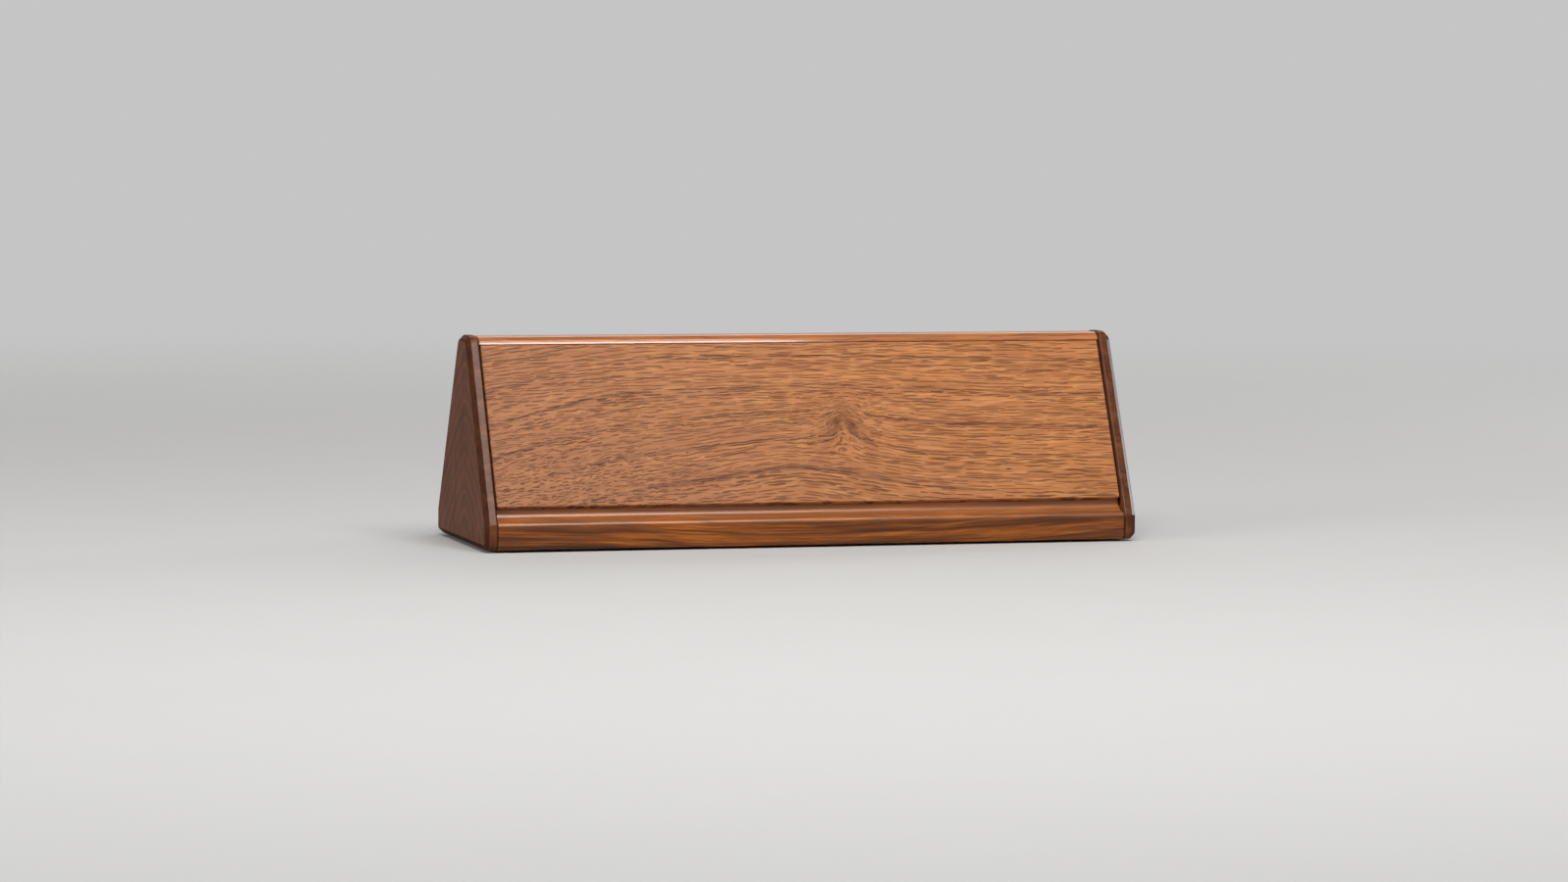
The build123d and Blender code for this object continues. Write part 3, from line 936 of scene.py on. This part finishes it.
def screw_mesh(name, small, centre, total):
    """Countersunk wood screw, head down, on a grid of rows along it and angles round it.

    Head face: the height follows a cross of two smooth-edged arms. Cone: straight to the core. Shank: radius = core
    + thread height * ridge, where the ridge is a wave in height over pitch minus angle over a full turn. Both
    fall to a point along the tip.
    """
    angle = np.linspace(0, 2 * np.pi, SCREW_SIDES, endpoint=False)[None, :]
    head, core = small.head_diameter / 2, small.core_diameter / 2
    face = np.linspace(FACE_START, 1.0, FACE_ROWS)[:, None] * head
    x, y = np.abs(face * np.cos(angle)), np.abs(face * np.sin(angle))
    soft = small.recess_width / 4

    def inside(value, limit):
        return np.clip((limit - value) / soft + 0.5, 0, 1)

    half_width, half_span = small.recess_width / 2, small.recess_span / 2
    cross = np.maximum(inside(x, half_span) * inside(y, half_width), inside(y, half_span) * inside(x, half_width))
    cone = np.linspace(0, 1, CONE_ROWS)[1:, None]
    shank_z = np.linspace(small.head_cone, total, SHANK_ROWS)[1:, None]
    taper = np.clip((total - shank_z) / small.tip, POINT_SHARE, 1)
    phase = (shank_z / small.thread_pitch - angle / (2 * np.pi)) % 1
    ridge = np.clip(1 - np.abs(2 * phase - 1) / THREAD_SHARE, 0, 1)
    fade = np.clip((shank_z - small.head_cone) / small.thread_pitch, 0, 1)
    shank_r = taper * (core + (small.thread_diameter / 2 - core) * ridge * fade)

    def stack(*parts):
        return np.concatenate([np.broadcast_to(part, (len(part), SCREW_SIDES)) for part in parts])

    radius = stack(face, head + (core - head) * cone, shank_r)
    height = stack(cross * small.recess_depth, cone * small.head_cone, shank_z)
    place = np.stack([radius * np.cos(angle), radius * np.sin(angle), height], axis=-1)
    faces, index = tube_faces(*radius.shape)
    ends = np.array([[0, 0, small.recess_depth], [0, 0, total]])
    points = np.concatenate([place.reshape(-1, 3), ends]) + np.array(centre)
    first, last = index[0], index[-1]
    low_end, high_end = len(points) - 2, len(points) - 1
    faces += np.stack([np.full_like(first, low_end), np.roll(first, -1), first], axis=1).tolist()
    faces += np.stack([np.full_like(last, high_end), last, np.roll(last, -1)], axis=1).tolist()
    mesh = new_mesh(name, points, faces)
    mesh.shade_smooth()
    mesh.set_sharp_from_angle(angle=SHARP_ANGLE)
    return mesh


class PieceMaker:
    """Operator that makes its pieces from the settings of the scene."""

    def execute(self, context):
        self.make(context.scene.nameplate)
        return {"FINISHED"}


class NAMEPLATE_OT_end_caps(PieceMaker, bpy.types.Operator):
    """Make both end caps with sanded edges and dark hardwood"""

    bl_idname = "nameplate.end_caps"
    bl_label = "End caps"

    def make(self, settings):
        sizes = settings.sizes
        outline = cap_outline(sizes)
        radius = 2 * sizes.arris
        depth = sizes.chamfer + radius
        inner, outer = float(cap_low[0]), float(cap_high[0])
        ends = {
            "right_end_cap": (inner, outer, sizes.inner_ease, sizes.chamfer, (0.0, -2.0, -123.0)),
            "left_end_cap": (-outer, -inner, sizes.chamfer, sizes.inner_ease, (0.0, -6.0, 123.0)),
        }
        for node, (low, high, low_chamfer, high_chamfer, pith) in ends.items():
            material = wood_material(node + "_hardwood", settings.cap, (0.0, np.pi / 2, 0.0), pith)
            profile = skin_profile(low, high, low_chamfer, high_chamfer, depth, radius, sizes.arc_steps)
            add_piece(carried_mesh(node + "_finished", outline, profile), material, node)


class NAMEPLATE_OT_panels(PieceMaker, bpy.types.Operator):
    """Make both sloping panels with eased edges and satin walnut"""

    bl_idname = "nameplate.panels"
    bl_label = "Sloping panels"

    def make(self, settings):
        sizes, figure = settings.sizes, settings.figure
        corners, radii = panel_outline(sizes)
        ease = sizes.panel_ease
        profile = skin_profile(-panel_end, panel_end, ease, ease, 2 * ease, sizes.fine_arris, sizes.arc_steps)
        slope = slope_angle(sizes)
        knot = {"reach": figure.knot_reach, "tall": 1.3, "rise": figure.knot_rise, "top": 0.17, "swirl": 1.7,
                "crowd": 5.0}
        swell = {"reach": figure.swell_reach, "tall": 0.9, "rise": figure.swell_rise, "top": 1.0, "swirl": 0.0,
                 "crowd": 0.0}
        curl = {"reach": figure.curl_reach, "tall": 0.8, "rise": 0.0, "top": 1.0, "swirl": figure.curl, "crowd": 3.0}
        front = [
            Knot({"place": (15.8, 30.5, 39.0), **knot}, 0.38, 0.0),
            Knot({"place": (-5.0, 14.0, 39.0), **swell}, 0.0, 0.4),
            Knot({"place": (-100.0, 8.0, 39.0), **curl}, 0.0, 0.0),
        ]
        rear = [Knot({"place": (-52.0, 44.0, -39.0), **knot}, 0.38, 0.0)]
        for node, side, turn, pith, knots in (
            ("name_panel", 1, -slope, (-45.0, -200.0, 14.6), front),
            ("rear_panel", -1, slope + np.pi, (40.0, -190.0, -14.6), rear),
        ):
            placed = [(side * y, z) for y, z in corners]
            outline = rounded_outline(placed, radii, sizes.arc_steps, ease)
            material = wood_material(node + "_walnut", settings.panel, (turn, 0.0, 0.0), pith, knots)
            add_piece(carried_mesh(node + "_finished", outline, profile), material, node)


class NAMEPLATE_OT_base_rails(PieceMaker, bpy.types.Operator):
    """Make both moulded base rails in gloss walnut"""

    bl_idname = "nameplate.base_rails"
    bl_label = "Base rails"

    def make(self, settings):
        sizes = settings.sizes
        corners, radii = rail_outline(sizes)
        profile = rail_profile(sizes)
        for node, side, pith in (
            ("front_base_rail", 1, (-5.0, -8.0, 20.0)),
            ("rear_base_rail", -1, (30.0, -10.0, -18.0)),
        ):
            placed = [(side * y, z) for y, z in corners]
            outline = rounded_outline(placed, radii, sizes.arc_steps, sizes.fine_arris)
            material = wood_material(node + "_walnut", settings.rail, (-np.pi / 2, 0.0, 0.0), pith)
            add_piece(carried_mesh(node + "_finished", outline, profile), material, node)


class NAMEPLATE_OT_ridge(PieceMaker, bpy.types.Operator):
    """Make the rounded ridge rail in gloss walnut"""

    bl_idname = "nameplate.ridge"
    bl_label = "Ridge rail"

    def make(self, settings):
        sizes = settings.sizes
        corners, radii = ridge_outline(sizes)
        outline = rounded_outline(corners, radii, sizes.arc_steps, sizes.fine_arris)
        mesh = carried_mesh("ridge_rail_finished", outline, rail_profile(sizes))
        material = wood_material("ridge_rail_walnut", settings.ridge, (0.0, 0.0, 0.0), (-20.0, 9.0, 20.0))
        add_piece(mesh, material, "ridge_rail")


class NAMEPLATE_OT_base_board(PieceMaker, bpy.types.Operator):
    """Give the base board its plywood veneer"""

    bl_idname = "nameplate.base_board"
    bl_label = "Base board"

    def make(self, settings):
        material = wood_material("board_veneer", settings.board, (0.0, 0.0, 0.0), (20.0, -14.0, -30.0))
        paint_node("base_board", material)


class NAMEPLATE_OT_dowels(PieceMaker, bpy.types.Operator):
    """Give the dowels their beech"""

    bl_idname = "nameplate.dowels"
    bl_label = "Dowels"

    def make(self, settings):
        material = wood_material("dowel_beech_grain", settings.dowel, (0.0, 0.0, 0.0), (0.0, 4.0, 90.0))
        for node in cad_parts:
            if node.endswith("_dowel"):
                paint_node(node, material)


class NAMEPLATE_OT_screws(PieceMaker, bpy.types.Operator):
    """Make the base screws with their threads and cross recesses"""

    bl_idname = "nameplate.screws"
    bl_label = "Base screws"

    def make(self, settings):
        material = steel_material()
        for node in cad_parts:
            if node.startswith("base_screw"):
                low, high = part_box(node)
                centre = ((low.x + high.x) / 2, (low.y + high.y) / 2, low.z)
                mesh = screw_mesh(node + "_threaded", settings.small, centre, high.z - low.z)
                add_piece(mesh, material, node)


class NAMEPLATE_OT_feet(PieceMaker, bpy.types.Operator):
    """Make the rubber feet with rounded edges"""

    bl_idname = "nameplate.feet"
    bl_label = "Rubber feet"

    def make(self, settings):
        edge, steps = settings.small.foot_round, settings.sizes.arc_steps
        material = rubber_material()
        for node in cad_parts:
            if node.endswith("_foot"):
                low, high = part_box(node)
                circle = circle_outline(high.x - low.x, 4 * steps)
                centre = np.array([low.x + high.x, low.y + high.y]) / 2
                outline = circle._replace(points=circle.points + centre)
                profile = skin_profile(low.z, high.z, edge, edge / 2, 2 * edge, edge, steps)
                mesh = carried_mesh(node + "_moulded", outline, profile, upright=True)
                add_piece(mesh, material, node)


# Stage

# Soft boxes: place, point that they face, and size
LIGHTS = {
    "key": ((-0.08, -0.78, 1.02), (-0.08, 0.0, 0.04), (0.9, 0.42)),
    "rim": ((1.28, 0.51, 0.29), (0.12, 0.0, 0.05), (0.14, 0.6)),
    "fill": ((-2.1, -1.0, 0.7), (0.0, 0.0, 0.04), (1.2, 1.0)),
    "top": ((0.0, -0.9, 2.6), (0.0, -0.2, 0.0), (2.6, 1.6)),
    "card": ((-0.05, -0.49, 0.755), (-0.05, 0.0, 0.02), (0.6, 0.83)),
    "back": ((0.5, 1.6, 1.2), (0.0, 0.0, 0.04), (1.6, 1.0)),
}
GLOSS_ONLY = ("card",)
FLOOR_RINGS, FLOOR_SIDES, FLOOR_START, FLOOR_MOTTLE = 24, 96, 0.02, 0.97

# Distances in millimetres at which the floor has faded out and starts to fade
FLOOR_FADE = (1500.0, 250.0)


def add_light(name, place, aim, size, watts):
    """Soft box: a rectangular light that faces a point and that no camera sees. A card is for highlights only."""
    lamp = bpy.data.lights.new(name, "AREA")
    lamp.shape = "RECTANGLE"
    lamp.size, lamp.size_y = size
    lamp.energy = watts
    light = new_object(name, lamp)
    light.location = place
    light.rotation_euler = (Vector(aim) - Vector(place)).to_track_quat("-Z", "Y").to_euler()
    light.visible_camera = False
    light.visible_diffuse = name not in GLOSS_ONLY


def add_floor(stage):
    """Round floor on a polar grid: place = radius * (cos angle, sin angle, 0), with closer rings near the middle."""
    angle = np.linspace(0, 2 * np.pi, FLOOR_SIDES, endpoint=False)
    radius = stage.floor_radius * np.linspace(FLOOR_START, 1, FLOOR_RINGS)[:, None] ** 2
    level = np.zeros((FLOOR_RINGS, FLOOR_SIDES))
    place = np.stack([radius * np.cos(angle), radius * np.sin(angle), level], axis=-1)
    faces, index = tube_faces(FLOOR_RINGS, FLOOR_SIDES)
    faces = [face[::-1] for face in faces] + [index[0].tolist()]
    mesh = new_mesh("floor", place.reshape(-1, 3), faces)
    floor = new_object("floor", mesh)
    material, sheet, shader, vector = new_material("pale_floor")
    mottle = sheet.noise(vector, 0.02, detail=3.0)
    tint = sheet.blend(mottle, solid(stage.floor_colour), solid(np.array(stage.floor_colour) * FLOOR_MOTTLE))
    sheet.feed(shader.inputs["Base Color"], tint)
    shader.inputs["Roughness"].default_value = 0.85
    shader.inputs["Specular IOR Level"].default_value = 0.1
    x, y, _ = sheet.split(vector)
    sheet.feed(shader.inputs["Alpha"], sheet.step(sheet.math("SQRT", x * x + y * y), *FLOOR_FADE))
    mesh.materials.append(material)


def add_camera(stage):
    """Camera at the given turn, tilt and lean, at its distance from the target."""
    yaw, pitch, roll = stage.yaw, stage.pitch, stage.roll
    ahead = Vector((np.sin(yaw) * np.cos(pitch), np.cos(yaw) * np.cos(pitch), -np.sin(pitch)))
    level = Vector((np.cos(yaw), -np.sin(yaw), 0.0))
    above = level.cross(ahead)
    right = level * np.cos(roll) + above * np.sin(roll)
    up = above * np.cos(roll) - level * np.sin(roll)
    data = bpy.data.cameras.new("camera")
    data.lens = stage.lens
    data.sensor_width = 36.0
    data.sensor_fit = "HORIZONTAL"
    data.clip_end = 100.0
    camera = new_object("camera", data)
    place = Vector(stage.target) - ahead * stage.distance
    camera.matrix_world = Matrix.Translation(place) @ Matrix((right, up, -ahead)).transposed().to_4x4()
    bpy.context.scene.camera = camera


def add_sky(stage):
    """Even pale light from all sides, and the backdrop that the camera and reflections see."""
    world = bpy.data.worlds.new("studio")
    world.use_nodes = True
    world.node_tree.nodes.clear()
    sheet = NodeSheet(world.node_tree)
    rays = sheet.values(sheet.add("ShaderNodeLightPath"))
    seen = sheet.math("MAXIMUM", rays["Is Glossy Ray"], rays["Is Transmission Ray"])
    seen = sheet.math("MAXIMUM", rays["Is Camera Ray"], seen)
    strength = seen * (stage.backdrop - stage.sky) + stage.sky
    background = sheet.add("ShaderNodeBackground", solid((1.0, 1.0, 1.0)), strength)
    sheet.add("ShaderNodeOutputWorld", background.outputs["Background"])
    bpy.context.scene.world = world


class NAMEPLATE_OT_stage(PieceMaker, bpy.types.Operator):
    """Set up the floor, the lights and the camera"""

    bl_idname = "nameplate.stage"
    bl_label = "Studio"

    def make(self, settings):
        stage = settings.stage
        add_floor(stage)
        add_sky(stage)
        for name, (place, aim, size) in LIGHTS.items():
            add_light(name, place, aim, size, getattr(stage, name + "_power"))
        add_camera(stage)
        bpy.context.scene.view_settings.view_transform = "Standard"


# Add-on

PIECE_OPERATORS = (
    NAMEPLATE_OT_end_caps,
    NAMEPLATE_OT_panels,
    NAMEPLATE_OT_base_rails,
    NAMEPLATE_OT_ridge,
    NAMEPLATE_OT_base_board,
    NAMEPLATE_OT_dowels,
    NAMEPLATE_OT_screws,
    NAMEPLATE_OT_feet,
    NAMEPLATE_OT_stage,
)


class NAMEPLATE_PT_sidebar(bpy.types.Panel):
    """List of the pieces in the sidebar"""

    bl_idname = "NAMEPLATE_PT_sidebar"
    bl_label = "Desk name plate"
    bl_space_type = "VIEW_3D"
    bl_region_type = "UI"
    bl_category = "Name plate"

    def draw(self, context):
        for operator in PIECE_OPERATORS:
            self.layout.operator(operator.bl_idname)


SETTING_GROUPS = (
    PlateSizes, SmallPartSizes, PanelFigure, PanelWood, RailWood, RidgeWood, CapWood, BoardWood, DowelWood,
    StageSettings, NameplateSettings,
)
CLASSES = SETTING_GROUPS + PIECE_OPERATORS + (NAMEPLATE_PT_sidebar,)


def register():
    """Registers every class and the settings of the scene."""
    for each in CLASSES:
        bpy.utils.register_class(each)
    bpy.types.Scene.nameplate = PointerProperty(type=NameplateSettings)


def unregister():
    """Takes the settings and every class out again."""
    del bpy.types.Scene.nameplate
    for each in reversed(CLASSES):
        bpy.utils.unregister_class(each)


def main():
    """Makes every piece and the stage, and notes the size of the CAD model and of the dressed one."""
    register()
    for operator in PIECE_OPERATORS:
        group, name = operator.bl_idname.split(".")
        getattr(getattr(bpy.ops, group), name)()


if __name__ == "__main__":
    main()
